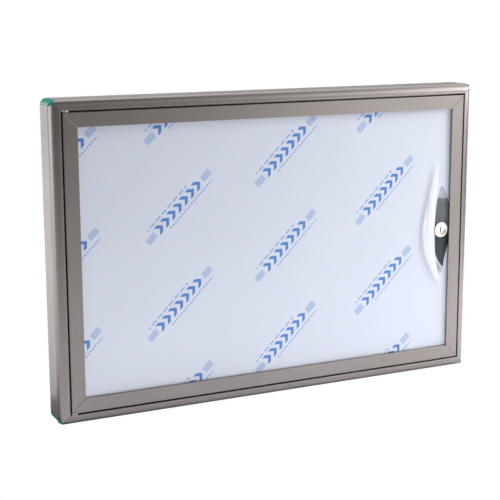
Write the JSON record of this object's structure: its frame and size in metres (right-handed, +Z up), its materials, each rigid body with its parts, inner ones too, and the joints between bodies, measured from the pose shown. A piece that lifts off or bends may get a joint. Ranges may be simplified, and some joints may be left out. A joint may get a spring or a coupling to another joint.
{
  "type": "lockable notice board",
  "caption": "Wall-hung notice board: mitred metal case with plastic corner pieces, and a glazed swing door with a cam lock and a film-covered pane.",
  "frame": {"origin": "centre of the wall plane, at the back of the case", "axes": "+X to the right as seen from the front, +Y out of the back into the wall, +Z up"},
  "size_m": [0.6, 0.0406, 0.4],
  "materials": {
    "case_metal": "satin anodised, champagne grey",
    "door_metal": "satin anodised, champagne grey",
    "corner_plastic": "moulded satin, blue-green",
    "key_metal": "die cast",
    "board_plastic": "grey foamed sheet",
    "display_metal": "white enamel",
    "screw_steel": "zinc plated",
    "pin_steel": "dark steel",
    "white_nylon": "natural nylon",
    "seal_rubber": "matt black",
    "bead_rubber": "matt black",
    "clear_acrylic": "clear, polished",
    "film_plastic": "milky film with a blue print",
    "plate_metal": "dark slate, satin",
    "lock_nickel": "satin nickel plate",
    "plug_nickel": "nickel plate"
  },
  "bodies": {
    "case": {"case_rail_left": "case_metal", "seal_left": "seal_rubber", "case_rail_right": "case_metal", "seal_right": "seal_rubber", "case_rail_top": "case_metal", "seal_top": "seal_rubber", "case_rail_bottom": "case_metal", "seal_bottom": "seal_rubber", "corner_piece_top_left": "corner_plastic", "corner_piece_top_right": "corner_plastic", "corner_piece_bottom_left": "corner_plastic", "corner_piece_bottom_right": "corner_plastic", "hinge_bush_top": "white_nylon", "hinge_bush_bottom": "white_nylon", "backing_board": "board_plastic", "display_sheet": "display_metal", "board_screws": "screw_steel"},
    "door": {"glazing_bead_left": "bead_rubber", "glazing_bead_right": "bead_rubber", "glazing_bead_top": "bead_rubber", "glazing_bead_bottom": "bead_rubber", "door_stile_left": "door_metal", "door_stile_right": "door_metal", "door_rail_top": "door_metal", "door_rail_bottom": "door_metal", "door_key_top_left": "key_metal", "door_key_top_right": "key_metal", "door_key_bottom_left": "key_metal", "door_key_bottom_right": "key_metal", "hinge_pin_top": "pin_steel", "hinge_pin_bottom": "pin_steel", "glazing": "clear_acrylic", "protective_film": "film_plastic", "lock_plate": "plate_metal", "lock_body": "lock_nickel", "lock_nut": "screw_steel"},
    "lock_core": {"lock_plug": "plug_nickel", "lock_cam": "screw_steel", "cam_screw": "screw_steel"}
  },
  "joints": [
    {"name": "door_hinge", "type": "hinge", "parent": "case", "child": "door", "pos_m": [-0.281, -0.0362, 0], "axis": [0, 0, -1], "range_deg": [0, 105]},
    {"name": "lock_turn", "type": "hinge", "parent": "door", "child": "lock_core", "pos_m": [0.2545, -0.03, 0], "axis": [0, -1, 0], "range_deg": [0, 90]}
  ]
}
